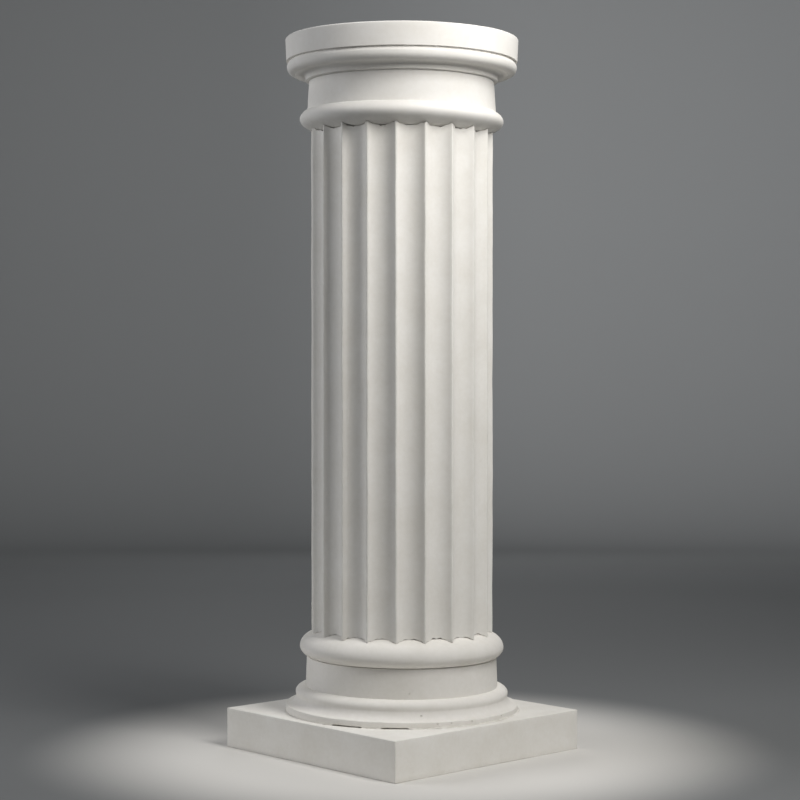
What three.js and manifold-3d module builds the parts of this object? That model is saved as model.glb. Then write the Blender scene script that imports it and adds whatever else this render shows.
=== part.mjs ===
// Doric column of pedestal size in cast plaster. A square plinth carries a round
// moulded base, a fluted shaft and a round capital with a flat top.
// Millimetres, +Z up, origin at the centre of the plinth's underside.

import * as THREE from 'three';
import { mergeVertices } from 'three/addons/utils/BufferGeometryUtils.js';
import Module from 'manifold-3d';

const wasm = await Module();
wasm.setup();

// Joints and facets
const joint = 0.3; // open joint between one casting and the next
const facetsRound = 60; // flat facets round each turned casting
const chordsPerCurve = 5; // chords along each curve of a moulding
const chordsPerFlute = 6; // chords across each flute, an even number

// Shaft. The base and the capital are set out from its radius.
const shaftRadius = 109.5; // out to the arrises
const shaftLength = 604; // along an arris
const fluteCount = 20;
const fluteDepth = 7.8; // from the circle of the arrises to a flute's bottom
const arrisWidth = 2; // narrow flat between two flutes
const shaftTurn = -1.6; // degrees that the arrises miss the plinth's diagonals by

// Base, from the shaft outwards
const drumTopProud = 5; // past the shaft
const drumFootProud = 6.1; // past the shaft
const baseBeadProud = 13.5; // past the shaft
const footRollWidth = 12.3; // from the drum's foot out to the roll's crown
const footRollProud = 0.5; // how far the roll stands out past the cove
const footCoveWidth = 12.4;
const plinthMargin = 10.2; // flat left past the foot at the middle of each side

// Base, from the floor upwards
const plinthHeight = 47;
const footEdgeHeight = 7.5;
const footCoveHeight = 10.8;
const footRollBelow = 3.6; // from the cove up to the roll's crown
const footRollAbove = 7.6; // from the crown up to the drum
const drumHeight = 36;
const baseBeadBelow = 11;
const baseBeadAbove = 16;
const baseCrownRise = 4.2; // how far the bead's top runs up inside the flutes

// Capital, from the shaft outwards
const capitalBeadProud = 13; // past the shaft
const neckFootProud = 3.9; // past the shaft
const neckTopProud = 1.7; // past the shaft
const lipProud = 4.4; // past the top of the neck
const cavettoWidth = 12;
const ovoloWidth = 10.4; // from the cavetto out to the ovolo's crown
const grooveDepth = 1.5; // in from the ovolo's crown
const abacusFootProud = 0.8; // past the ovolo's crown
const abacusFlare = 1.1; // past its own foot

// Capital, from the shaft upwards
const capitalCrownDrop = 4; // how far the bead's underside runs down inside the flutes
const capitalBeadBelow = 11.8;
const capitalBeadAbove = 10.6;
const neckHeight = 35.2;
const lipUnderside = 0.8;
const lipHeight = 5.4;
const cavettoHeight = 2.3;
const ovoloBelow = 9.5;
const ovoloAbove = 3.9;
const grooveHeight = 2.2;
const abacusHeight = 27.1;
const abacusRimRound = 1.8;

// How far each bulging moulding's curve reaches in towards the axis
const beadReach = 24;
const ovoloReach = 11;

// Radii of the base that the projections come to
const drumTopRadius = shaftRadius + drumTopProud;
const drumFootRadius = shaftRadius + drumFootProud;
const baseBeadRadius = shaftRadius + baseBeadProud;
const footRollRadius = drumFootRadius + footRollWidth;
const footCoveRadius = footRollRadius - footRollProud;
const footRadius = footCoveRadius + footCoveWidth;
const plinthSide = 2 * (footRadius + plinthMargin);

// Radii of the capital that the projections come to
const capitalBeadRadius = shaftRadius + capitalBeadProud;
const neckFootRadius = shaftRadius + neckFootProud;
const neckTopRadius = shaftRadius + neckTopProud;
const lipRadius = neckTopRadius + lipProud;
const ovoloFootRadius = lipRadius + cavettoWidth;
const ovoloRadius = ovoloFootRadius + ovoloWidth;
const grooveRadius = ovoloRadius - grooveDepth;
const abacusFootRadius = ovoloRadius + abacusFootProud;
const abacusTopRadius = abacusFootRadius + abacusFlare;

// The same dry plaster on every casting, a shade darker towards the floor
const plasterRoughness = 0.9;
const plinthColour = 0xd9d6cf;
const baseColour = 0xdddad3;
const shaftColour = 0xe2dfd8;
const capitalColour = 0xe8e5de;

// Outlines of turned castings are (radius, height) points from the axis below,
// round the outside and back to the axis above.
function point(radius, height) {
  return new THREE.Vector2(radius, height);
}

// Bulging curve from a moulding's crown, where it is upright, to its edge.
function halfRoll(crown, edge, reach) {
  const centreRadius = crown.x - reach;
  const turn = Math.acos((edge.x - centreRadius) / reach);
  const halfHeight = Math.abs(edge.y - crown.y) / Math.sin(turn);
  const below = edge.y < crown.y;
  const endAngle = below ? -turn : turn;
  const curve = new THREE.EllipseCurve(
    centreRadius, crown.y, reach, halfHeight, 0, endAngle, below);
  return curve.getPoints(chordsPerCurve);
}

// Whole roll or bead, from its lower edge over the crown to its upper edge.
function roll(lowerEdge, crown, upperEdge, reach) {
  const lower = halfRoll(crown, lowerEdge, reach).reverse();
  const upper = halfRoll(crown, upperEdge, reach).slice(1);
  return [...lower, ...upper];
}

// Hollow curve, upright at its inner end and level at its outer end.
function hollow(inner, outer) {
  const rising = outer.y > inner.y;
  const endAngle = rising ? Math.PI / 2 : 3 * Math.PI / 2;
  const curve = new THREE.EllipseCurve(
    outer.x, inner.y, outer.x - inner.x, Math.abs(outer.y - inner.y),
    Math.PI, endAngle, rising);
  return curve.getPoints(chordsPerCurve);
}

// Turns an outline about the vertical axis.
function turned(outline) {
  return new THREE.LatheGeometry(outline, facetsRound).rotateX(Math.PI / 2);
}

// Closed solid from a geometry, for cutting. Triangles that close up to a line
// on the axis are left out.
function toSolid(geometry) {
  geometry.deleteAttribute('normal');
  geometry.deleteAttribute('uv');
  const merged = mergeVertices(geometry, 1e-4);
  const corners = merged.index.array;
  const kept = [];
  for (let i = 0; i < corners.length; i += 3) {
    const [a, b, c] = corners.slice(i, i + 3);
    if (a !== b && b !== c && c !== a) {
      kept.push(a, b, c);
    }
  }
  return new wasm.Manifold(new wasm.Mesh({
    numProp: 3,
    vertProperties: merged.attributes.position.array,
    triVerts: new Uint32Array(kept),
  }));
}

function toGeometry(solid) {
  const mesh = solid.getMesh();
  const geometry = new THREE.BufferGeometry();
  geometry.setAttribute('position', new THREE.BufferAttribute(mesh.vertProperties, 3));
  geometry.setIndex(new THREE.BufferAttribute(mesh.triVerts, 1));
  geometry.computeVertexNormals();
  return geometry;
}

function plasterMesh(name, geometry, colour) {
  const material = new THREE.MeshStandardMaterial({
    color: colour,
    roughness: plasterRoughness,
    metalness: 0,
  });
  const mesh = new THREE.Mesh(geometry, material);
  mesh.name = name;
  return mesh;
}

// The flutes' bottoms lie on this circle, and the mouldings above and below
// slope on inside the flutes to meet it.
const fluteBottomRadius = shaftRadius - fluteDepth;

function makePlinth() {
  const block = new THREE.BoxGeometry(plinthSide, plinthSide, plinthHeight);
  return block.translate(0, 0, plinthHeight / 2);
}

// Base casting. Its outline ends on the axis at the top of the crown that
// rises inside the shaft's foot.
const baseFoot = plinthHeight + joint;
const footEdgeTop = baseFoot + footEdgeHeight;
const footCoveTop = footEdgeTop + footCoveHeight;
const footRollCrown = footCoveTop + footRollBelow;
const drumFoot = footRollCrown + footRollAbove;
const drumTop = drumFoot + drumHeight;
const baseBeadCrown = drumTop + baseBeadBelow;
const baseTop = baseBeadCrown + baseBeadAbove;

function makeBase() {
  const coveTop = point(footCoveRadius, footCoveTop);
  const footEdge = point(footRadius, footEdgeTop);
  const footRoll = roll(
    coveTop,
    point(footRollRadius, footRollCrown),
    point(drumFootRadius, drumFoot),
    footRollWidth);
  const bead = roll(
    point(drumTopRadius, drumTop),
    point(baseBeadRadius, baseBeadCrown),
    point(shaftRadius, baseTop),
    beadReach);
  return turned([
    point(0, baseFoot),
    point(footRadius, baseFoot),
    ...hollow(coveTop, footEdge).reverse(),
    ...footRoll.slice(1),
    ...bead,
    point(fluteBottomRadius, baseTop + baseCrownRise),
    point(0, baseTop + baseCrownRise),
  ]);
}

// Plan of the shaft: hollow arcs between narrow flats, one flat near each of
// the plinth's diagonals.
function makeShaftPlan() {
  const step = 2 * Math.PI / fluteCount;
  const halfFlute = step / 2 - Math.asin(arrisWidth / 2 / shaftRadius);
  const halfChord = shaftRadius * Math.sin(halfFlute);
  const sag = shaftRadius * Math.cos(halfFlute) - fluteBottomRadius;
  const arcRadius = (halfChord ** 2 + sag ** 2) / (2 * sag);
  const arcCentre = fluteBottomRadius + arcRadius;
  const halfArc = Math.asin(halfChord / arcRadius);
  const firstArris = Math.PI / 4 + THREE.MathUtils.degToRad(shaftTurn);
  const plan = new THREE.Shape();
  for (let i = 0; i < fluteCount; i += 1) {
    const middle = firstArris + (i + 0.5) * step;
    plan.absarc(
      arcCentre * Math.cos(middle), arcCentre * Math.sin(middle), arcRadius,
      middle + Math.PI + halfArc, middle + Math.PI - halfArc, true);
  }
  plan.closePath();
  return plan;
}

// Cutter for one end of the shaft. Its face slopes at the rate of the moulding
// that the flutes die against, and is level inside the flutes' bottoms.
function makeEndCutter(tipHeight, centreHeight, farHeight) {
  const slope = (tipHeight - centreHeight) / fluteDepth;
  const outerRadius = shaftRadius + fluteDepth;
  const outerHeight = tipHeight + slope * fluteDepth;
  const face = [
    point(0, centreHeight),
    point(fluteBottomRadius, centreHeight),
    point(outerRadius, outerHeight),
  ];
  const back = [point(outerRadius, farHeight), point(0, farHeight)];
  const outline = [...face, ...back];
  const upwards = farHeight > centreHeight;
  return toSolid(turned(upwards ? outline : outline.reverse()));
}

const shaftFoot = baseTop + joint;
const shaftTop = shaftFoot + shaftLength;

function makeShaft() {
  const extra = shaftRadius; // length beyond each end that the cutters take away
  const prism = new THREE.ExtrudeGeometry(makeShaftPlan(), {
    depth: shaftLength + extra,
    curveSegments: chordsPerFlute / 2,
    bevelEnabled: false,
  }).translate(0, 0, shaftFoot - extra / 2);
  const footCutter = makeEndCutter(
    shaftFoot, shaftFoot + baseCrownRise, shaftFoot - extra);
  const topCutter = makeEndCutter(
    shaftTop, shaftTop - capitalCrownDrop, shaftTop + extra);
  const shaft = toSolid(prism).subtract(footCutter).subtract(topCutter);
  return toGeometry(shaft);
}

// Capital casting. Its outline starts on the axis at the bottom of the crown
// that drops inside the shaft's head.
const capitalFoot = shaftTop + joint;
const capitalBeadCrown = capitalFoot + capitalBeadBelow;
const neckFoot = capitalBeadCrown + capitalBeadAbove;
const neckTop = neckFoot + neckHeight;
const lipFoot = neckTop + lipUnderside;
const lipTop = lipFoot + lipHeight;
const ovoloFoot = lipTop + cavettoHeight;
const ovoloCrown = ovoloFoot + ovoloBelow;
const ovoloTop = ovoloCrown + ovoloAbove;
const abacusFoot = ovoloTop + grooveHeight;
const abacusTop = abacusFoot + abacusHeight;

function makeCapital() {
  const bead = roll(
    point(shaftRadius, capitalFoot),
    point(capitalBeadRadius, capitalBeadCrown),
    point(neckFootRadius, neckFoot),
    beadReach);
  const cavettoTop = point(ovoloFootRadius, ovoloFoot);
  const cavetto = hollow(point(lipRadius, lipTop), cavettoTop);
  const ovolo = roll(
    cavettoTop,
    point(ovoloRadius, ovoloCrown),
    point(grooveRadius, ovoloTop),
    ovoloReach);
  const rim = new THREE.EllipseCurve(
    abacusTopRadius - abacusRimRound, abacusTop - abacusRimRound,
    abacusRimRound, abacusRimRound, 0, Math.PI / 2);
  return turned([
    point(0, capitalFoot - capitalCrownDrop),
    point(fluteBottomRadius, capitalFoot - capitalCrownDrop),
    ...bead,
    point(neckTopRadius, neckTop),
    point(lipRadius, lipFoot),
    ...cavetto,
    ...ovolo.slice(1),
    point(abacusFootRadius, abacusFoot),
    ...rim.getPoints(chordsPerCurve),
    point(0, abacusTop),
  ]);
}

const column = new THREE.Group();
column.add(
  plasterMesh('plinth', makePlinth(), plinthColour),
  plasterMesh('base', makeBase(), baseColour),
  plasterMesh('shaft', makeShaft(), shaftColour),
  plasterMesh('capital', makeCapital(), capitalColour),
);

export default column;
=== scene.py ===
import logging
import math
from collections.abc import Callable, Sequence
from dataclasses import dataclass
from enum import Enum

import bmesh
import bpy
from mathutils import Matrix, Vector


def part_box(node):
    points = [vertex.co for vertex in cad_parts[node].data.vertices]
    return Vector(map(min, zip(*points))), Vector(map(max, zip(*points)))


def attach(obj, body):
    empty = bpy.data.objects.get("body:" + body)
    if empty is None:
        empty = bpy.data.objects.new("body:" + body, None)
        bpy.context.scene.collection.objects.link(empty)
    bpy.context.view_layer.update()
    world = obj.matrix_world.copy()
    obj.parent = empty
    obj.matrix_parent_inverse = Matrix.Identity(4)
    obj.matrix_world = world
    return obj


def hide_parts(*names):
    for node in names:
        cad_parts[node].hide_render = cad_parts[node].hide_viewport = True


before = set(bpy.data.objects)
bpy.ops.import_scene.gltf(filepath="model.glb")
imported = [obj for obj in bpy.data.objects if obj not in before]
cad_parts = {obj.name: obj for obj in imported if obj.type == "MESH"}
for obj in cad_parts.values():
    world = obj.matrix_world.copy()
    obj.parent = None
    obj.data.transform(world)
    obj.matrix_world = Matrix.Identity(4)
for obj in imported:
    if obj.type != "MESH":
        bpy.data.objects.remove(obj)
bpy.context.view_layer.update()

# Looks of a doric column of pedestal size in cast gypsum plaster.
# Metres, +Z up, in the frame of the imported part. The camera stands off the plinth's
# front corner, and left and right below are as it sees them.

MM = 0.001
FULL_TURN = 2 * math.pi
ROOT_BODY = "root"

CAMERA_BEARING = -43.1  # degrees from +X to the camera, round the axis
JOINT_GAPS = ((-78.0, -62.0), (-52.6, -39.6))  # open stretches under the foot, degrees from +X
SMOOTH_ANGLE = 35.0  # steepest bend, in degrees, that is still shaded round
SHAFT_RADIUS = 109.5 * MM
FLUTE_DEPTH = 7.8 * MM
FOOT_RISE = 4.2 * MM  # height from the arrises' lower ends to the flutes'
HEAD_DROP = 4.0 * MM  # height from the flutes' upper ends to the arrises'

Point = tuple[float, float]
log = logging.getLogger("column")


class CadNode(Enum):
    """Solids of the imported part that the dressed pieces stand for."""

    PLINTH = "plinth"
    BASE = "base"
    SHAFT = "shaft"
    CAPITAL = "capital"


class Slot(Enum):
    """Names of material slots."""

    PLINTH = "plinth_plaster"
    BASE = "base_plaster"
    SHAFT = "shaft_plaster"
    CAPITAL = "capital_plaster"


class Push(Enum):
    """Directions in which a lumpy texture moves a surface."""

    OUTWARDS = "NORMAL"
    ALL_WAYS = "RGB_TO_XYZ"
    UPWARDS = "Z"


def linear_colour(sheet_hex: str) -> tuple[float, float, float, float]:
    """Turns an sRGB hex value into the linear colour that shaders read.

    Args:
        sheet_hex: Colour as "#rrggbb".

    Returns:
        Red, green, blue and an alpha of one.
    """
    channels = [int(sheet_hex[i:i + 2], 16) / 255 for i in (1, 3, 5)]
    linear = [c / 12.92 if c <= 0.04045 else ((c + 0.055) / 1.055) ** 2.4 for c in channels]
    return (linear[0], linear[1], linear[2], 1.0)


def add_node(
    tree: bpy.types.NodeTree,
    kind: str,
    settings: dict[str, object] | None = None,
    inputs: dict[str | int, object] | None = None,
) -> bpy.types.Node:
    """Adds one shader node with its settings and links.

    Args:
        tree: Node tree that takes the node.
        kind: Blender's name of the node's type.
        settings: Values of the node's own settings.
        inputs: Constants, or output sockets to link, by input name or number.

    Returns:
        The new node.
    """
    node = tree.nodes.new(kind)
    for name, value in (settings or {}).items():
        setattr(node, name, value)
    for name, value in (inputs or {}).items():
        if isinstance(value, bpy.types.NodeSocket):
            tree.links.new(value, node.inputs[name])
        else:
            node.inputs[name].default_value = value
    return node


MIX_FACTOR, MIX_FIRST, MIX_SECOND, MIX_RESULT = 0, 6, 7, 2  # colour sockets of a Mix node


@dataclass(frozen=True)
class PlasterFinish:
    """Cast gypsum plaster, sanded: dead matt, off-white, faintly mottled.

    Attributes:
        name: Name of the material.
        pale: Colour of the clean surface.
        stained: Colour of the faint clouds that mixing and handling leave.
        cloud_size: Width of those clouds.
        speck_size: Width of the small specks between them.
        grain_size: Width of the grain that sanding leaves.
        grain_depth: Depth of that grain.
        sweep_size: Width of the hollows that a scraper leaves.
        sweep_depth: Depth of those hollows.
        roughness: How dull the dry surface is.
    """

    name: str
    pale: str
    stained: str
    cloud_size: float = 45 * MM
    speck_size: float = 5 * MM
    grain_size: float = 1.4 * MM
    grain_depth: float = 0.05 * MM
    sweep_size: float = 16 * MM
    sweep_depth: float = 0.12 * MM
    roughness: float = 0.88

    def material(self) -> bpy.types.Material:
        """Makes the material.

        Returns:
            A node material that reads Object coordinates.
        """
        material = bpy.data.materials.new(self.name)
        material.use_nodes = True
        tree = material.node_tree
        tree.nodes.clear()
        place = add_node(tree, "ShaderNodeTexCoord").outputs["Object"]

        # Broad clouds and small specks together, which keep the white from looking painted.
        clouds = self._noise(tree, place, self.cloud_size, 4.0, 0.6)
        specks = self._noise(tree, place, self.speck_size, 3.0, 0.55)
        mottle = add_node(tree, "ShaderNodeMath", {"operation": "MULTIPLY_ADD"},
                          {0: specks, 1: 0.45, 2: clouds})
        share = add_node(tree, "ShaderNodeMapRange", None,
                         {"Value": mottle.outputs[0], "From Min": 0.52, "From Max": 0.98})
        colour = add_node(tree, "ShaderNodeMix", {"data_type": "RGBA"}, {
            MIX_FACTOR: share.outputs["Result"],
            MIX_FIRST: linear_colour(self.pale),
            MIX_SECOND: linear_colour(self.stained),
        })

        # Sanding grain over scraper hollows, which break the light on the smooth casting.
        sweeps = add_node(tree, "ShaderNodeBump", None, {
            "Height": self._noise(tree, place, self.sweep_size, 2.0, 0.5),
            "Distance": self.sweep_depth,
        })
        grain = add_node(tree, "ShaderNodeBump", None, {
            "Height": self._noise(tree, place, self.grain_size, 2.0, 0.6),
            "Distance": self.grain_depth,
            "Normal": sweeps.outputs["Normal"],
        })

        shader = add_node(tree, "ShaderNodeBsdfPrincipled", None, {
            "Base Color": colour.outputs[MIX_RESULT],
            "Roughness": self.roughness,
            "IOR": 1.52,
            "Normal": grain.outputs["Normal"],
        })
        add_node(tree, "ShaderNodeOutputMaterial", None, {"Surface": shader.outputs["BSDF"]})
        return material

    @staticmethod
    def _noise(tree: bpy.types.NodeTree, place: bpy.types.NodeSocket, width: float,
               detail: float, rough: float) -> bpy.types.NodeSocket:
        """Adds a noise pattern whose lumps are about as wide as asked.

        Args:
            tree: Node tree that takes the noise.
            place: Coordinates that the pattern follows.
            width: Width of one lump.
            detail: Number of finer layers.
            rough: Strength of the finer layers.

        Returns:
            The noise's value, from 0 to 1.
        """
        node = add_node(tree, "ShaderNodeTexNoise", None, {
            "Vector": place,
            "Scale": 1 / width,
            "Detail": detail,
            "Roughness": rough,
        })
        return node.outputs["Fac"]


@dataclass(frozen=True)
class SweepFinish:
    """Matt studio paint on floor and wall: pale round the object, grey further out.

    Attributes:
        name: Name of the material.
        floor: Colour of the floor under and round the object.
        shade: Colour of the floor further out and of the wall's foot, painted shade that keeps the
            background dim.
        wall: Colour of the wall on the right, painted light where the lamps fall from the right.
        painted_shade_wall: Colour of the wall on the left, painted shade for the column's soft
            shadow and the lamps' falloff.
        floor_ends: Distances from the axis between which the floor turns to the painted shade.
        wall_ends: Distances from the axis between which the painted shade turns to the wall, so the
            wall gets lighter going up.
        painted_shade_wall_ends: Places from left to right between which the painted shade on the
            wall gives way to the painted light.
    """

    name: str = "matt studio paint with painted light and shade"
    floor: str = "#dfddd9"
    shade: str = "#747677"
    wall: str = "#d3d5d6"
    painted_shade_wall: str = "#b3b5b6"
    floor_ends: tuple[float, float] = (0.24, 0.47)
    wall_ends: tuple[float, float] = (1.7, 3.8)
    painted_shade_wall_ends: tuple[float, float] = (-0.55, 0.45)

    def material(self) -> bpy.types.Material:
        """Makes the material.

        Returns:
            A node material that reads Object coordinates.
        """
        material = bpy.data.materials.new(self.name)
        material.use_nodes = True
        tree = material.node_tree
        tree.nodes.clear()
        place = add_node(tree, "ShaderNodeTexCoord").outputs["Object"]
        distance = add_node(tree, "ShaderNodeVectorMath", {"operation": "LENGTH"}, {0: place})
        # Painted light and shade across the wall: darker on the left, lighter on the right, as
        # lamps from the right would leave it.
        rightwards = math.radians(CAMERA_BEARING + 90)
        across = add_node(tree, "ShaderNodeVectorMath", {"operation": "DOT_PRODUCT"}, {
            0: place,
            1: (math.cos(rightwards), math.sin(rightwards), 0.0),
        })
        wall = self._blend(tree, across.outputs["Value"], self.painted_shade_wall_ends,
                           linear_colour(self.painted_shade_wall), linear_colour(self.wall))
        # Painted shade: the floor darkens away from the column and the wall's foot stays darker
        # than its top.
        outer = self._blend(tree, distance.outputs["Value"], self.wall_ends,
                            linear_colour(self.shade), wall)
        colour = self._blend(tree, distance.outputs["Value"], self.floor_ends,
                             linear_colour(self.floor), outer)
        shader = add_node(tree, "ShaderNodeBsdfPrincipled", None, {
            "Base Color": colour,
            "Roughness": 0.95,
            "Specular IOR Level": 0.2,
        })
        add_node(tree, "ShaderNodeOutputMaterial", None, {"Surface": shader.outputs["BSDF"]})
        return material

    @staticmethod
    def _blend(tree: bpy.types.NodeTree, value: bpy.types.NodeSocket,
               ends: tuple[float, float], first: object, second: object) -> bpy.types.NodeSocket:
        """Blends two colours softly between two values.

        Args:
            tree: Node tree that takes the nodes.
            value: What the blend follows.
            ends: Values at which the first colour ends and the second is full.
            first: First colour, or the socket that gives it.
            second: Second colour, or the socket that gives it.

        Returns:
            The blended colour.
        """
        share = add_node(tree, "ShaderNodeMapRange", {"interpolation_type": "SMOOTHSTEP"}, {
            "Value": value,
            "From Min": ends[0],
            "From Max": ends[1],
        })
        mix = add_node(tree, "ShaderNodeMix", {"data_type": "RGBA"}, {
            MIX_FACTOR: share.outputs["Result"],
            MIX_FIRST: first,
            MIX_SECOND: second,
        })
        return mix.outputs[MIX_RESULT]


def clear_selection() -> None:
    """Leaves edit mode and deselects everything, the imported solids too."""
    if bpy.context.object and bpy.context.object.mode != "OBJECT":
        bpy.ops.object.mode_set(mode="OBJECT")
    bpy.ops.object.select_all(action="DESELECT")


def start_from_point(name: str, place: Sequence[float]) -> bpy.types.Object:
    """Starts a mesh as one selected point, left in edit mode.

    Args:
        name: Name of the new piece.
        place: Where the point lies.

    Returns:
        The new piece, with its object at the origin.
    """
    clear_selection()
    bpy.ops.mesh.primitive_plane_add(size=1 * MM)
    piece = bpy.context.object
    piece.name = name
    piece.data.name = name
    bpy.ops.object.mode_set(mode="EDIT")
    bpy.ops.mesh.select_mode(type="VERT")
    bpy.ops.mesh.select_all(action="SELECT")
    bpy.ops.mesh.merge(type="CENTER")
    bpy.ops.transform.translate(value=place)
    return piece


def extrude_through(start: Sequence[float], places: Sequence[Sequence[float]]) -> None:
    """Extrudes the selected point through a row of places.

    Args:
        start: Where the selected point lies.
        places: The places that it is extruded to, in order.
    """
    here = Vector(start)
    for place in places:
        there = Vector(place)
        bpy.ops.mesh.extrude_region_move(TRANSFORM_OT_translate={"value": there - here})
        here = there


def select_points(piece: bpy.types.Object, chosen: Callable[[Vector], bool]) -> None:
    """Selects points of the piece in edit mode, with what lies between them.

    Args:
        piece: The piece in edit mode.
        chosen: Says for a point's place whether it is selected.
    """
    bpy.ops.mesh.select_mode(type="VERT")
    bpy.ops.mesh.select_all(action="DESELECT")
    mesh = bmesh.from_edit_mesh(piece.data)
    for vertex in mesh.verts:
        if chosen(vertex.co):
            vertex.select = True
    mesh.select_flush_mode()
    bmesh.update_edit_mesh(piece.data)


def select_edges(piece: bpy.types.Object, chosen: Callable[[Vector, Vector], bool]) -> None:
    """Selects edges of the piece in edit mode.

    Args:
        piece: The piece in edit mode.
        chosen: Says for an edge's two ends whether it is selected.
    """
    bpy.ops.mesh.select_mode(type="EDGE")
    bpy.ops.mesh.select_all(action="DESELECT")
    mesh = bmesh.from_edit_mesh(piece.data)
    for edge in mesh.edges:
        if chosen(edge.verts[0].co, edge.verts[1].co):
            edge.select = True
    mesh.select_flush_mode()
    bmesh.update_edit_mesh(piece.data)


def tidy_shell() -> None:
    """Merges doubled points of the mesh in edit mode and turns its faces outwards."""
    bpy.ops.mesh.select_mode(type="VERT")
    bpy.ops.mesh.select_all(action="SELECT")
    bpy.ops.mesh.remove_doubles(threshold=0.005 * MM)
    bpy.ops.mesh.normals_make_consistent(inside=False)
    bpy.ops.object.mode_set(mode="OBJECT")


@dataclass(frozen=True)
class Lumps:
    """Unevenness that hand work leaves in a surface.

    Attributes:
        width: Width of one lump.
        height: Height from the deepest hollow to the highest lump.
        push: Direction in which the surface moves.
        middle: Value of the clouds texture, from 0 to 1, that moves nothing.
    """

    width: float
    height: float
    push: Push = Push.OUTWARDS
    middle: float = 0.5


def lump(piece: bpy.types.Object, lumps: Lumps, group: str = "") -> None:
    """Makes a surface slightly uneven.

    Args:
        piece: The piece to change.
        lumps: The unevenness.
        group: Vertex group that limits the change, or "" for the whole piece.
    """
    texture = bpy.data.textures.new(f"{piece.name} lumps", "CLOUDS")
    texture.noise_scale = lumps.width
    texture.noise_depth = 2
    texture.cloud_type = "COLOR" if lumps.push is Push.ALL_WAYS else "GRAYSCALE"
    modifier = piece.modifiers.new("lumps", "DISPLACE")
    modifier.texture = texture
    modifier.texture_coords = "LOCAL"
    modifier.direction = lumps.push.value
    modifier.strength = lumps.height
    modifier.mid_level = lumps.middle
    modifier.vertex_group = group
    bpy.context.view_layer.objects.active = piece
    bpy.ops.object.modifier_apply(modifier=modifier.name)


def tip_selected(height: float, degrees: float) -> None:
    """Tips the selected points down to the right, as the camera sees them.

    Args:
        height: Height on the axis that they turn about.
        degrees: How far they tip.
    """
    sight = math.radians(CAMERA_BEARING)
    angle = math.radians(degrees)
    for axis, share in (("X", math.cos(sight)), ("Y", math.sin(sight))):
        bpy.ops.transform.rotate(value=angle * share, orient_axis=axis, orient_type="GLOBAL",
                                 center_override=(0, 0, height))


def mark_points(piece: bpy.types.Object, group: str, chosen: Callable[[Vector], bool]) -> None:
    """Puts points of a finished piece in a vertex group.

    Args:
        piece: The piece, in object mode.
        group: Name of the new vertex group.
        chosen: Says for a point's place whether it is in the group.
    """
    clear_selection()
    bpy.context.view_layer.objects.active = piece
    piece.vertex_groups.new(name=group)
    bpy.ops.object.mode_set(mode="EDIT")
    select_points(piece, chosen)
    bpy.ops.object.vertex_group_assign()
    bpy.ops.object.mode_set(mode="OBJECT")


@dataclass(frozen=True)
class AirHole:
    """Small hole that a bubble left in a casting's surface.

    Attributes:
        bearing: Degrees to the right of the camera, as seen from the axis.
        radius: Distance from the axis.
        height: Height above the floor.
        width: Width of its mouth.
        depth: How deep it is.
    """

    bearing: float
    radius: float
    height: float
    width: float = 1.3 * MM
    depth: float = 2.2 * MM

    def place(self) -> Vector:
        """Gives its place."""
        angle = math.radians(CAMERA_BEARING + self.bearing)
        return Vector((self.radius * math.cos(angle), self.radius * math.sin(angle), self.height))


def sink_hole(piece: bpy.types.Object, hole: AirHole) -> None:
    """Sinks an air hole into the nearest face.

    Args:
        piece: The piece, in object mode.
        hole: Place and size of the hole.
    """
    clear_selection()
    bpy.context.view_layer.objects.active = piece
    bpy.ops.object.mode_set(mode="EDIT")
    bpy.ops.mesh.select_mode(type="FACE")
    bpy.ops.mesh.select_all(action="DESELECT")
    mesh = bmesh.from_edit_mesh(piece.data)
    place = hole.place()
    face = min(mesh.faces, key=lambda f: (f.calc_center_median() - place).length)
    side = min(edge.calc_length() for edge in face.edges)
    inwards = face.normal * -hole.depth
    face.select = True
    bmesh.update_edit_mesh(piece.data)
    bpy.ops.mesh.inset(thickness=(side - hole.width) / 2)
    bpy.ops.mesh.extrude_region_move(TRANSFORM_OT_translate={"value": inwards})
    bpy.ops.object.mode_set(mode="OBJECT")


def hand_over(piece: bpy.types.Object, finish: PlasterFinish,
              node: CadNode | None) -> None:
    """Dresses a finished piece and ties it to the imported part.

    Args:
        piece: The finished piece.
        finish: Its plaster.
        node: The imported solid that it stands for, if any.
    """
    clear_selection()
    piece.select_set(True)
    bpy.context.view_layer.objects.active = piece
    bpy.ops.object.shade_smooth_by_angle(angle=math.radians(SMOOTH_ANGLE))
    piece.data.materials.clear()
    piece.data.materials.append(finish.material())
    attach(piece, ROOT_BODY)
    if node is not None:
        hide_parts(node.value)
    log.info("%s: %d faces, %s", piece.name, len(piece.data.polygons), finish.name)


def interpolate(value: float, places: Sequence[float], results: Sequence[float]) -> float:
    """Reads a result off straight lines between known places.

    Args:
        value: Where to read.
        places: Known places in rising order.
        results: The result at each of them.

    Returns:
        The result at the value, level beyond both ends.
    """
    if value <= places[0]:
        return results[0]
    for low, high, first, last in zip(places, places[1:], results, results[1:]):
        if value <= high:
            return first + (last - first) * (value - low) / (high - low)
    return results[-1]


def elliptic(centre: Point, reach: Point, start: float, end: float, chords: int) -> list[Point]:
    """Gives the points of an elliptic arc in an outline.

    Args:
        centre: Radius and height of the arc's centre.
        reach: Half width and half height of the ellipse.
        start: Angle of the first point in degrees, 0 outwards and 90 upwards.
        end: Angle of the last point in degrees.
        chords: Number of chords.

    Returns:
        Points as radius and height, the first one included.
    """
    angles = [math.radians(start + (end - start) * i / chords) for i in range(chords + 1)]
    return [(centre[0] + reach[0] * math.cos(a), centre[1] + reach[1] * math.sin(a))
            for a in angles]


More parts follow.
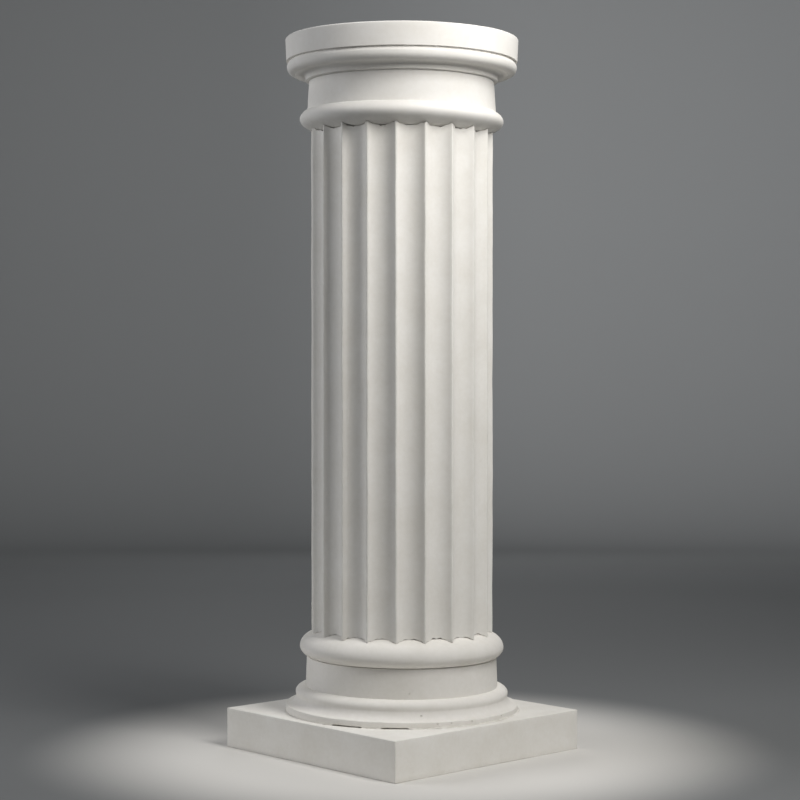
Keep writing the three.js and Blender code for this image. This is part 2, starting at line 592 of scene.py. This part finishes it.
def straight(start: Point, end: Point, chords: int) -> list[Point]:
    """Gives the points of a straight stretch in an outline, both ends included.

    Args:
        start: Radius and height of the first point.
        end: Radius and height of the last point.
        chords: Number of equal steps.

    Returns:
        Points as radius and height.
    """
    return [(start[0] + (end[0] - start[0]) * i / chords,
             start[1] + (end[1] - start[1]) * i / chords) for i in range(chords + 1)]


@dataclass
class TurnedCasting:
    """A casting that was run round its axis with a template."""

    steps_round: int = 256
    chords_per_curve: int = 11

    def bulge(self, lower: Point, crown: Point, upper: Point, reach: float,
              squareness: float = 1.0) -> list[Point]:
        """Gives a roll or bead from its lower edge over the crown to its upper edge.

        Args:
            lower: Radius and height of the lower edge.
            crown: Radius and height where the curve is upright.
            upper: Radius and height of the upper edge.
            reach: How far the curve reaches in towards the axis.
            squareness: Power of the lower half, 1 for an ellipse and less for a fuller one.

        Returns:
            Points as radius and height.
        """
        centre = (crown[0] - reach, crown[1])
        halves = []
        for edge in (lower, upper):
            turn = math.acos((edge[0] - centre[0]) / reach)
            half_height = abs(edge[1] - crown[1]) / math.sin(turn)
            halves.append((math.degrees(turn), half_height))
        (below, low), (above, high) = halves
        chords = self.chords_per_curve
        under = [(centre[0] + reach * abs((r - centre[0]) / reach) ** squareness,
                  centre[1] - low * abs((z - centre[1]) / low) ** squareness)
                 for r, z in elliptic(centre, (reach, low), -below, 0, chords)]
        over = elliptic(centre, (reach, high), 0, above, chords)
        return under + over[1:]

    def turn(self, name: str, outline: Sequence[Point]) -> bpy.types.Object:
        """Extrudes a point along the outline and spins it about the axis.

        Args:
            name: Name of the new piece.
            outline: Points as radius and height, from the axis round to the axis.

        Returns:
            The closed piece, in object mode.
        """
        places = [(radius, 0.0, height) for radius, height in outline]
        piece = start_from_point(name, places[0])
        extrude_through(places[0], places[1:])
        bpy.ops.mesh.select_all(action="SELECT")
        bpy.ops.mesh.spin(steps=self.steps_round, angle=FULL_TURN, use_auto_merge=True,
                          center=(0, 0, 0), axis=(0, 0, 1))
        tidy_shell()
        return piece

    @staticmethod
    def tilt(piece: bpy.types.Object, levels: Sequence[tuple[float, float]]) -> None:
        """Tips the mouldings down to the right, as each was set by hand.

        Args:
            piece: The casting, in object mode.
            levels: Heights in rising order, each with its tilt in degrees. What lies
                between two heights is tilted in between.
        """
        heights = [height for height, _ in levels]
        tilts = [degrees for _, degrees in levels]
        clear_selection()
        bpy.context.view_layer.objects.active = piece
        rows: dict[float, set[int]] = {}
        for vertex in piece.data.vertices:
            if vertex.co.xy.length > MM:
                rows.setdefault(round(vertex.co.z, 5), set()).add(vertex.index)
        bpy.ops.object.mode_set(mode="EDIT")
        bpy.ops.mesh.select_mode(type="VERT")
        for height, members in rows.items():
            bpy.ops.mesh.select_all(action="DESELECT")
            mesh = bmesh.from_edit_mesh(piece.data)
            for vertex in mesh.verts:
                vertex.select = vertex.index in members
            mesh.select_flush_mode()
            bmesh.update_edit_mesh(piece.data)
            tip_selected(height, interpolate(height, heights, tilts))
        bpy.ops.object.mode_set(mode="OBJECT")


@dataclass
class Capital(TurnedCasting):
    """Round capital: bead, neck, lip, ovolo and a drum-shaped abacus."""

    shaft_radius: float = SHAFT_RADIUS
    crown_drop: float = HEAD_DROP
    flute_depth: float = FLUTE_DEPTH
    bead_proud: float = 13.0 * MM
    bead_below: float = 11.8 * MM
    bead_above: float = 10.6 * MM
    bead_reach: float = 24.0 * MM
    neck_foot_proud: float = 3.9 * MM
    neck_top_proud: float = 1.7 * MM
    neck_height: float = 35.2 * MM
    lip_proud: float = 4.4 * MM
    lip_underside: float = 0.8 * MM
    lip_height: float = 5.4 * MM
    lip_round: float = 1.3 * MM
    quirk_width: float = 4.0 * MM
    quirk_height: float = 1.3 * MM
    crease_depth: float = 1.1 * MM
    cavetto_width: float = 12.0 * MM
    cavetto_height: float = 2.3 * MM
    ovolo_width: float = 10.4 * MM
    ovolo_below: float = 9.5 * MM
    ovolo_above: float = 3.9 * MM
    ovolo_reach: float = 11.0 * MM
    ovolo_squareness: float = 0.82
    groove_depth: float = 1.5 * MM
    groove_height: float = 2.2 * MM
    groove_undercut: float = 1.2 * MM
    groove_rim: float = 0.3 * MM
    abacus_foot_proud: float = 0.8 * MM
    abacus_flare: float = 1.1 * MM
    abacus_height: float = 27.1 * MM
    rim_round: float = 1.8 * MM
    bead_tilt: float = 0.8
    abacus_tilt: float = 0.2
    sway: Lumps = Lumps(90 * MM, 0.7 * MM, Push.ALL_WAYS)
    dents: Lumps = Lumps(14 * MM, 0.12 * MM)

    def outline(self) -> list[Point]:
        """Gives the outline from the axis below to the axis above."""
        low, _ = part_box(CadNode.CAPITAL.value)
        drop_height = low.z
        foot = drop_height + self.crown_drop
        inner = self.shaft_radius - self.flute_depth
        bead_crown = foot + self.bead_below
        neck_foot = bead_crown + self.bead_above
        neck_top = neck_foot + self.neck_height
        lip_foot = neck_top + self.lip_underside
        lip_top = lip_foot + self.lip_height
        ovolo_foot = lip_top + self.cavetto_height
        ovolo_crown = ovolo_foot + self.ovolo_below
        ovolo_top = ovolo_crown + self.ovolo_above
        abacus_foot = ovolo_top + self.groove_height
        abacus_top = abacus_foot + self.abacus_height

        neck_foot_radius = self.shaft_radius + self.neck_foot_proud
        neck_top_radius = self.shaft_radius + self.neck_top_proud
        lip_radius = neck_top_radius + self.lip_proud
        ovolo_foot_radius = lip_radius + self.cavetto_width
        ovolo_radius = ovolo_foot_radius + self.ovolo_width
        groove_radius = ovolo_radius - self.groove_depth
        abacus_foot_radius = ovolo_radius + self.abacus_foot_proud
        abacus_top_radius = abacus_foot_radius + self.abacus_flare

        bead = self.bulge(
            (self.shaft_radius, foot),
            (self.shaft_radius + self.bead_proud, bead_crown),
            (neck_foot_radius, neck_foot), self.bead_reach)
        neck = straight((neck_foot_radius, neck_foot), (neck_top_radius, neck_top), 7)
        crease = [(neck_top_radius - self.crease_depth, neck_top + self.lip_underside / 2)]
        lip = elliptic((lip_radius - self.lip_round, lip_foot + self.lip_round),
                       (self.lip_round, self.lip_round), -80, 0, 4)
        lip += straight(lip[-1], (lip_radius, lip_top - self.lip_round), 3)[1:]
        quirk_radius = ovolo_foot_radius - self.quirk_width
        quirk_rise = ovolo_foot + self.quirk_height - lip[-1][1]
        cavetto = elliptic((quirk_radius, lip[-1][1]), (quirk_radius - lip_radius, quirk_rise),
                           170, 60, 9)
        ovolo = self.bulge(
            (ovolo_foot_radius, ovolo_foot), (ovolo_radius, ovolo_crown),
            (groove_radius, ovolo_top), self.ovolo_reach, self.ovolo_squareness)
        groove_floor = groove_radius - self.groove_undercut
        groove = [(groove_floor, ovolo_top + self.groove_rim),
                  (groove_floor, abacus_foot - self.groove_rim)]
        rim_centre = (abacus_top_radius - self.rim_round, abacus_top - self.rim_round)
        rim = elliptic(rim_centre, (self.rim_round, self.rim_round), 0, 90, 7)
        fascia = straight((abacus_foot_radius, abacus_foot), rim[0], 6)
        top = straight(rim[-1], (0.0, abacus_top), 16)
        return [
            (0.0, drop_height), (inner, drop_height), *bead, *neck[1:], *crease, *lip,
            *cavetto, *ovolo, *groove, *fascia, *rim[1:], *top[1:],
        ]

    def build(self) -> None:
        """Builds and dresses the capital."""
        piece = self.turn("capital_casting", self.outline())
        low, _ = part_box(CadNode.CAPITAL.value)
        foot = low.z + self.crown_drop
        neck = foot + self.bead_below + self.bead_above
        self.tilt(piece, ((foot, self.bead_tilt), (neck, self.bead_tilt),
                          (neck + self.neck_height, self.abacus_tilt)))
        lump(piece, self.sway)
        lump(piece, self.dents)
        finish = PlasterFinish("cast gypsum plaster, sanded smooth", "#f2f0ec", "#ebe8e2")
        hand_over(piece, finish, CadNode.CAPITAL)


@dataclass
class Base(TurnedCasting):
    """Round moulded base: foot, cove, roll, drum and bead."""

    shaft_radius: float = SHAFT_RADIUS
    flute_depth: float = FLUTE_DEPTH
    crown_rise: float = FOOT_RISE
    drum_top_proud: float = 5.0 * MM
    drum_foot_proud: float = 6.1 * MM
    bead_proud: float = 13.5 * MM
    roll_width: float = 12.3 * MM
    roll_proud: float = 0.5 * MM
    cove_width: float = 12.4 * MM
    foot_edge_height: float = 7.5 * MM
    foot_edge_round: float = 0.8 * MM
    shoulder_width: float = 1.2 * MM
    cove_height: float = 10.8 * MM
    roll_below: float = 3.6 * MM
    roll_above: float = 7.6 * MM
    drum_height: float = 36.0 * MM
    bead_below: float = 11.0 * MM
    bead_above: float = 16.0 * MM
    bead_reach: float = 24.0 * MM
    seam_depth: float = 2.2 * MM
    seam_height: float = 1.2 * MM
    foot_tilt: float = 0.12
    gap_height: float = 1.1 * MM
    gap_edge_height: float = 1.6 * MM
    gap_inner_radius: float = 120.0 * MM
    tilt_above: float = 0.55
    lip_inner_radius: float = 136.0 * MM
    lip_band: float = 3.0 * MM
    sway: Lumps = Lumps(90 * MM, 0.7 * MM, Push.ALL_WAYS)
    lip_lumps: Lumps = Lumps(22 * MM, 0.9 * MM, Push.UPWARDS)
    dents: Lumps = Lumps(12 * MM, 0.14 * MM)
    air_holes: tuple[AirHole, ...] = (
        AirHole(4.5, 115.0 * MM, 82.5 * MM, 1.3 * MM),
        AirHole(10.5, 130.0 * MM, 61.5 * MM, 1.1 * MM),
        AirHole(16.7, 139.8 * MM, 52.4 * MM, 1.3 * MM),
        AirHole(23.5, 139.8 * MM, 52.4 * MM, 1.0 * MM),
        AirHole(35.0, 139.8 * MM, 52.4 * MM, 1.3 * MM),
        AirHole(56.5, 139.8 * MM, 52.2 * MM, 1.3 * MM),
    )

    def outline(self) -> list[Point]:
        """Gives the outline from the axis below to the axis above."""
        low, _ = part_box(CadNode.BASE.value)
        foot = low.z
        edge_top = foot + self.foot_edge_height
        cove_top = edge_top + self.cove_height
        roll_crown = cove_top + self.roll_below
        drum_foot = roll_crown + self.roll_above
        drum_top = drum_foot + self.drum_height
        bead_crown = drum_top + self.bead_below
        top = bead_crown + self.bead_above

        drum_foot_radius = self.shaft_radius + self.drum_foot_proud
        drum_top_radius = self.shaft_radius + self.drum_top_proud
        roll_radius = drum_foot_radius + self.roll_width
        cove_radius = roll_radius - self.roll_proud
        foot_radius = cove_radius + self.cove_width

        edge_round = self.foot_edge_round
        underside = straight((0.0, foot), (foot_radius - edge_round, foot), 6)
        foot_edge = elliptic((foot_radius - edge_round, foot + edge_round),
                             (edge_round, edge_round), -60, 0, 2)
        edge = straight((foot_radius, foot + edge_round), (foot_radius, edge_top - edge_round), 2)
        shoulder = elliptic((foot_radius - edge_round, edge_top - edge_round),
                            (edge_round, edge_round), 0, 80, 3)
        cove = elliptic((foot_radius - self.shoulder_width, cove_top),
                        (self.cove_width - self.shoulder_width, self.cove_height), -90, -180,
                        self.chords_per_curve)
        roll = self.bulge((cove_radius, cove_top), (roll_radius, roll_crown),
                          (drum_foot_radius, drum_foot), self.roll_width)
        drum = straight((drum_foot_radius, drum_foot), (drum_top_radius, drum_top), 13)
        drum[-1] = (drum_top_radius, drum_top - self.seam_height)
        seam = [(drum_top_radius - self.seam_depth, drum_top - self.seam_height / 2)]
        bead = self.bulge(
            (drum_top_radius, drum_top), (self.shaft_radius + self.bead_proud, bead_crown),
            (self.shaft_radius, top), self.bead_reach)
        crown = (self.shaft_radius - self.flute_depth, top + self.crown_rise)
        return [
            *underside, *foot_edge, *edge[1:], *shoulder[1:], *cove, *roll[1:], *drum[1:],
            *seam, *bead, crown, (0.0, crown[1]),
        ]

    def _open_joint(self, piece: bpy.types.Object, foot: float) -> None:
        """Lifts the foot's lower edge where the joint under it stands open.

        Args:
            piece: The base, in object mode.
            foot: Height of the foot's underside.
        """
        bpy.ops.object.mode_set(mode="EDIT")
        for start, end in JOINT_GAPS:
            select_points(piece, lambda p: p.z < foot + self.gap_edge_height
                          and p.xy.length > self.gap_inner_radius
                          and start < math.degrees(math.atan2(p.y, p.x)) < end)
            bpy.ops.transform.translate(value=(0, 0, self.gap_height))
        bpy.ops.object.mode_set(mode="OBJECT")

    def build(self) -> None:
        """Builds and dresses the base."""
        piece = self.turn("base_casting", self.outline())
        low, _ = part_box(CadNode.BASE.value)
        edge_top = low.z + self.foot_edge_height
        self.tilt(piece, ((low.z, self.foot_tilt), (edge_top, self.tilt_above)))
        lump(piece, self.sway)
        self._open_joint(piece, low.z)
        mark_points(piece, "edge", lambda p: abs(p.z - edge_top) < self.lip_band
                    and p.xy.length > self.lip_inner_radius)
        lump(piece, self.lip_lumps, "edge")
        lump(piece, self.dents)
        for hole in self.air_holes:
            sink_hole(piece, hole)
        finish = PlasterFinish("cast gypsum plaster, hand scraped", "#f2efea", "#e9e6df")
        hand_over(piece, finish, CadNode.BASE)


@dataclass
class JointFiller(TurnedCasting):
    """Lumpy bead of filler in the joint between the foot and the plinth.

    It is smeared wider on the right, where the foot sits lower.
    """

    inner_radius: float = 138.0 * MM
    width: float = 3.0 * MM
    height: float = 1.9 * MM
    wide: float = 4.8 * MM
    high: float = 2.9 * MM
    wide_end: float = 62.0
    top_width: float = 1.2 * MM
    step_degrees: float = 1.0
    smears: Lumps = Lumps(5 * MM, 2.6 * MM, Push.ALL_WAYS)

    def build(self) -> None:
        """Builds the filler between the open stretches and dresses it."""
        (first_start, first_end), (second_start, second_end) = JOINT_GAPS
        runs = [
            self._run(second_end, self.wide_end, self.wide, self.high),
            self._run(self.wide_end, first_start + 360.0, self.width, self.height),
            self._run(first_end, second_start, self.width, self.height),
        ]
        clear_selection()
        for run in runs:
            run.select_set(True)
        bpy.context.view_layer.objects.active = runs[0]
        bpy.ops.object.join()
        piece = bpy.context.object
        piece.data.name = "joint_filler"
        lump(piece, self.smears)
        finish = PlasterFinish("casting plaster, smeared in the joint", "#eeebe5", "#d9d5cc")
        hand_over(piece, finish, None)

    def _run(self, start: float, end: float, width: float, height: float) -> bpy.types.Object:
        """Spins the filler's section through one stretch.

        Args:
            start: Where it starts, in degrees from +X.
            end: Where it ends.
            width: How far it spreads on the plinth.
            height: How far it climbs up the foot.

        Returns:
            The closed run, in object mode.
        """
        _, plinth_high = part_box(CadNode.PLINTH.value)
        floor = plinth_high.z
        section = [
            (self.inner_radius, floor),
            *elliptic((self.inner_radius + width, floor + height),
                      (width - self.top_width, height), 270, 190, 3),
            (self.inner_radius, floor + height),
        ]
        angle = math.radians(start)
        places = [(r * math.cos(angle), r * math.sin(angle), z) for r, z in section]
        piece = start_from_point("joint_filler", places[0])
        extrude_through(places[0], places[1:])
        bpy.ops.mesh.select_all(action="SELECT")
        bpy.ops.mesh.edge_face_add()
        bpy.ops.mesh.spin(steps=round((end - start) / self.step_degrees),
                          angle=math.radians(start - end), center=(0, 0, 0), axis=(0, 0, 1))
        tidy_shell()
        return piece


@dataclass
class Shaft:
    """Fluted shaft, one flute modelled and copied round the axis."""

    radius: float = SHAFT_RADIUS
    length: float = 604.0 * MM
    flutes: int = 20
    flute_depth: float = FLUTE_DEPTH
    arris_width: float = 2.0 * MM
    arris_round: float = 0.25 * MM
    shoulder_drop: float = 0.04 * MM
    shoulder_share: float = 0.65
    turn_degrees: float = -1.6
    foot_rise: float = FOOT_RISE
    head_drop: float = HEAD_DROP
    joint: float = 0.3 * MM
    chords_per_flute: int = 14
    row_height: float = 9.0 * MM
    end_band: float = 6.0 * MM
    foot_tilt: float = 0.55
    head_tilt: float = 0.75
    foot_cracks: Lumps = Lumps(4 * MM, 4.5 * MM, Push.UPWARDS, 0.36)
    head_cracks: Lumps = Lumps(4 * MM, 5.0 * MM, Push.UPWARDS, 0.68)
    sway: Lumps = Lumps(55 * MM, 1.0 * MM, Push.ALL_WAYS)
    dents: Lumps = Lumps(11 * MM, 0.14 * MM)

    def build(self) -> None:
        """Builds and dresses the shaft."""
        piece = self._flute()
        self._copy_round(piece)
        self._close_ends(piece)
        foot, head = self._foot(), self._foot() + self.length
        edge = 0.8 * self.radius
        bpy.ops.object.mode_set(mode="EDIT")
        for height, degrees in ((foot, self.foot_tilt), (head, self.head_tilt)):
            select_points(piece, lambda p: abs(p.z - height) < self.end_band
                          and p.xy.length > edge)
            tip_selected(height, degrees)
        bpy.ops.object.mode_set(mode="OBJECT")
        mark_points(piece, "foot", lambda p: p.z < foot + self.end_band and p.xy.length > edge)
        mark_points(piece, "head", lambda p: p.z > head - self.end_band and p.xy.length > edge)
        lump(piece, self.foot_cracks, "foot")
        lump(piece, self.head_cracks, "head")
        lump(piece, self.sway)
        lump(piece, self.dents)
        finish = PlasterFinish("cast gypsum plaster, sanded along the flutes", "#f0eee9", "#e8e5de")
        hand_over(piece, finish, CadNode.SHAFT)

    def _foot(self) -> float:
        """Height of the arrises' lower ends."""
        _, base_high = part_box(CadNode.BASE.value)
        return base_high.z - self.foot_rise + self.joint

    def _flute(self) -> bpy.types.Object:
        """Models one flute with half an arris on each side, from end to end.

        Returns:
            The open strip, in edit mode.
        """
        step = FULL_TURN / self.flutes
        half_arris = math.asin(self.arris_width / 2 / self.radius)
        half_flute = step / 2 - half_arris
        bottom = self.radius - self.flute_depth
        edge_radius = self.radius - self.arris_round
        shoulder_radius = self.radius - self.shoulder_drop
        half_chord = edge_radius * math.sin(half_flute)
        sag = edge_radius * math.cos(half_flute) - bottom
        arc_radius = (half_chord ** 2 + sag ** 2) / (2 * sag)
        arc_centre = bottom + arc_radius
        half_arc = math.asin(half_chord / arc_radius)
        first = math.pi / 4 + math.radians(self.turn_degrees)
        middle = first + step / 2
        foot = self._foot()

        def on_circle(radius: float, angle: float) -> tuple[float, float, float]:
            """Place at the foot, at a radius and an angle."""
            return (radius * math.cos(angle), radius * math.sin(angle), foot)

        start = on_circle(self.radius, first)
        shoulder = on_circle(shoulder_radius, first + self.shoulder_share * half_arris)
        edge = on_circle(edge_radius, first + half_arris)
        piece = start_from_point("shaft_casting", start)
        extrude_through(start, [shoulder, edge])
        centre = (arc_centre * math.cos(middle), arc_centre * math.sin(middle), foot)
        bpy.ops.mesh.spin(steps=self.chords_per_flute, angle=2 * half_arc, center=centre,
                          axis=(0, 0, 1))
        far_shoulder = on_circle(shoulder_radius, first + step - self.shoulder_share * half_arris)
        far_edge = on_circle(edge_radius, first + step - half_arris)
        far_start = on_circle(self.radius, first + step)
        select_points(piece, lambda p: (p - Vector(far_edge)).length < 0.05 * MM)
        extrude_through(far_edge, [far_shoulder, far_start])

        bpy.ops.mesh.select_all(action="SELECT")
        bpy.ops.mesh.extrude_region_move(TRANSFORM_OT_translate={"value": (0, 0, self.length)})
        select_edges(piece, lambda a, b: abs(a.z - b.z) > self.length / 2)
        bpy.ops.mesh.subdivide(number_cuts=round(self.length / self.row_height) - 1)
        self._slope_ends(piece, foot)
        return piece

    def _slope_ends(self, piece: bpy.types.Object, foot: float) -> None:
        """Moves the flute's end points to the mouldings that it dies against.

        Args:
            piece: The flute, in edit mode.
            foot: Height of the arrises' lower ends.
        """
        mesh = bmesh.from_edit_mesh(piece.data)
        ends = ((foot, self.foot_rise), (foot + self.length, -self.head_drop))
        for height, full_move in ends:
            depths = sorted({round((self.radius - v.co.xy.length) / MM, 3)
                             for v in mesh.verts if abs(v.co.z - height) < 0.01 * MM})
            for depth in depths:
                share = depth * MM / self.flute_depth
                reach = self.radius - depth * MM
                select_points(piece, lambda p: abs(p.z - height) < 0.01 * MM
                              and abs(p.xy.length - reach) < 0.001 * MM)
                bpy.ops.transform.translate(value=(0, 0, full_move * share))
                mesh = bmesh.from_edit_mesh(piece.data)

    def _copy_round(self, piece: bpy.types.Object) -> None:
        """Copies the flute round the axis and joins the copies.

        Args:
            piece: The flute, in edit mode. Not used.
        """
        bpy.ops.mesh.select_all(action="SELECT")
        copies = self.flutes - 1
        bpy.ops.mesh.spin(steps=copies, dupli=True, angle=FULL_TURN * copies / self.flutes,
                          center=(0, 0, 0), axis=(0, 0, 1))
        bpy.ops.mesh.select_all(action="SELECT")
        bpy.ops.mesh.remove_doubles(threshold=0.01 * MM)

    def _close_ends(self, piece: bpy.types.Object) -> None:
        """Closes both ends with a face that runs in to the axis.

        Args:
            piece: The open shaft, in edit mode.
        """
        foot = self._foot()
        ends = ((foot, self.foot_rise), (foot + self.length, -self.head_drop))
        for height, full_move in ends:
            level = height + full_move
            rim_low, rim_high = sorted((height, level))
            select_edges(piece, lambda a, b: all(
                rim_low - 0.01 * MM < p.z < rim_high + 0.01 * MM for p in (a, b)))
            bpy.ops.mesh.extrude_edges_move()
            bpy.ops.transform.resize(value=(0.9, 0.9, 0), center_override=(0, 0, level))
            bpy.ops.mesh.merge(type="CENTER")
        tidy_shell()


@dataclass
class Plinth:
    """Square block with crisp, slightly worn edges."""

    edge_round: float = 0.8 * MM
    cell: float = 6.0 * MM
    sway: Lumps = Lumps(70 * MM, 0.5 * MM, Push.ALL_WAYS)
    dents: Lumps = Lumps(12 * MM, 0.2 * MM)

    def build(self) -> None:
        """Builds and dresses the plinth."""
        low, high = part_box(CadNode.PLINTH.value)
        clear_selection()
        bpy.ops.mesh.primitive_cube_add(size=1, location=(low + high) / 2, scale=high - low)
        piece = bpy.context.object
        piece.name = "plinth_block"
        piece.data.name = "plinth_block"
        bpy.ops.object.transform_apply(location=True, rotation=True, scale=True)
        bpy.ops.object.mode_set(mode="EDIT")
        bpy.ops.mesh.select_all(action="SELECT")
        bpy.ops.mesh.bevel(offset=self.edge_round, segments=3, profile=0.5)
        for axis in range(3):
            span = (high - low)[axis]
            select_edges(piece, lambda a, b: abs(a[axis] - b[axis]) > span / 2)
            bpy.ops.mesh.subdivide(number_cuts=round(span / self.cell) - 1)
        tidy_shell()
        lump(piece, self.sway)
        lump(piece, self.dents)
        finish = PlasterFinish("cast gypsum plaster, rubbed", "#f4f2ed", "#ebe8e1")
        hand_over(piece, finish, CadNode.PLINTH)


@dataclass(frozen=True)
class SoftBox:
    """One soft light on a stand, turned towards the column.

    Attributes:
        name: Name of the light.
        bearing: Degrees to the right of the camera, as seen from the axis.
        distance: Distance from the axis.
        height: Height above the floor.
        width: Width of its face.
        length: Height of its face.
        watts: Its power.
        tint: Its colour.
        aim_height: Height on the axis that it faces.
        outwards: Whether it faces the wall behind it and not the column.
    """

    name: str
    bearing: float
    distance: float
    height: float
    width: float
    length: float
    watts: float
    tint: str
    aim_height: float = 0.45
    outwards: bool = False


@dataclass
class Studio:
    """Camera, lights and a plain pale floor that runs up into a grey wall."""

    lights: tuple[SoftBox, ...] = (
        SoftBox("key", 38.5, 0.90, 1.18, 0.35, 0.60, 9.7, "#fffdfa"),
        SoftBox("high", 55.0, 0.90, 2.20, 0.60, 0.60, 8.2, "#ffffff", 0.10),
        SoftBox("fill", -90.0, 2.10, 1.35, 1.40, 1.40, 21.0, "#fbfcff", 0.70),
        SoftBox("back", 180.0, 2.20, 1.20, 1.20, 1.20, 7.0, "#ffffff"),
        SoftBox("backdrop", 180.0, 1.60, 1.20, 1.60, 1.20, 7.0, "#ffffff", outwards=True),
    )

    camera_distance: float = 2.4
    camera_height: float = 0.45866
    axis_column: float = 401.7
    horizon_row: float = 368.4
    focal_pixels: float = 1988.46
    image_side: float = 800.0
    sensor_width: float = 36.0

    floor_ring: float = 1.0
    sweep_radius: float = 3.6
    cove_radius: float = 0.9
    wall_top: float = 3.2
    air: str = "#f4f4f6"
    air_strength: float = 0.02

    def place_camera(self) -> None:
        """Puts the camera at the viewing angle off the plinth's front corner."""
        bearing = math.radians(CAMERA_BEARING)
        place = Vector((self.camera_distance * math.cos(bearing),
                        self.camera_distance * math.sin(bearing), self.camera_height))
        aside = (self.axis_column - self.image_side / 2) / self.focal_pixels
        down = (self.image_side / 2 - self.horizon_row) / self.focal_pixels
        heading = bearing + math.pi + aside
        gaze = Vector((math.cos(heading), math.sin(heading), -down))
        clear_selection()
        bpy.ops.object.camera_add(location=place, rotation=gaze.to_track_quat("-Z", "Y").to_euler())
        camera = bpy.context.object
        camera.name = "camera"
        camera.data.sensor_width = self.sensor_width
        camera.data.lens = self.focal_pixels / self.image_side * self.sensor_width
        bpy.context.scene.camera = camera

    def place_light(self, light: SoftBox) -> None:
        """Adds one soft light that faces the column's axis.

        Args:
            light: The light's place, size, power and colour.
        """
        angle = math.radians(CAMERA_BEARING + light.bearing)
        place = Vector((light.distance * math.cos(angle), light.distance * math.sin(angle),
                        light.height))
        gaze = Vector((0, 0, light.aim_height)) - place
        if light.outwards:
            gaze = -gaze
        clear_selection()
        bpy.ops.object.light_add(type="AREA", location=place,
                                 rotation=gaze.to_track_quat("-Z", "Y").to_euler())
        lamp = bpy.context.object
        lamp.name = light.name
        lamp.data.shape = "RECTANGLE"
        lamp.data.size = light.width
        lamp.data.size_y = light.length
        lamp.data.energy = light.watts
        lamp.data.color = linear_colour(light.tint)[:3]
        lamp.visible_camera = False

    def place_sweep(self) -> None:
        """Builds the floor with a wall all round, joined by a cove."""
        cove = self.cove_radius
        bend = elliptic((self.sweep_radius - cove, cove), (cove, cove), -90, 0, 16)
        outline = [(0.0, 0.0), (self.floor_ring, 0.0), *bend, (self.sweep_radius, self.wall_top)]
        sweep = TurnedCasting(steps_round=96).turn("floor_sweep", outline)
        bpy.ops.object.mode_set(mode="EDIT")
        bpy.ops.mesh.select_all(action="SELECT")
        bpy.ops.mesh.normals_make_consistent(inside=True)
        bpy.ops.object.mode_set(mode="OBJECT")
        bpy.ops.object.shade_smooth_by_angle(angle=math.radians(SMOOTH_ANGLE))
        sweep.data.materials.append(SweepFinish().material())

    def build(self) -> None:
        """Sets up the whole studio."""
        self.place_camera()
        self.place_sweep()
        for light in self.lights:
            self.place_light(light)
        world = bpy.data.worlds.new("studio air")
        world.use_nodes = True
        bpy.context.scene.world = world
        background = world.node_tree.nodes["Background"]
        background.inputs["Color"].default_value = linear_colour(self.air)
        background.inputs["Strength"].default_value = self.air_strength
        bpy.context.scene.view_settings.view_transform = "Standard"


def main() -> None:
    """Builds the column from the plinth up, then the studio."""
    logging.basicConfig(level=logging.INFO, format="%(name)s: %(message)s")
    for part in (Plinth(), Base(), JointFiller(), Shaft(), Capital()):
        part.build()
    Studio().build()


if __name__ == "__main__":
    main()
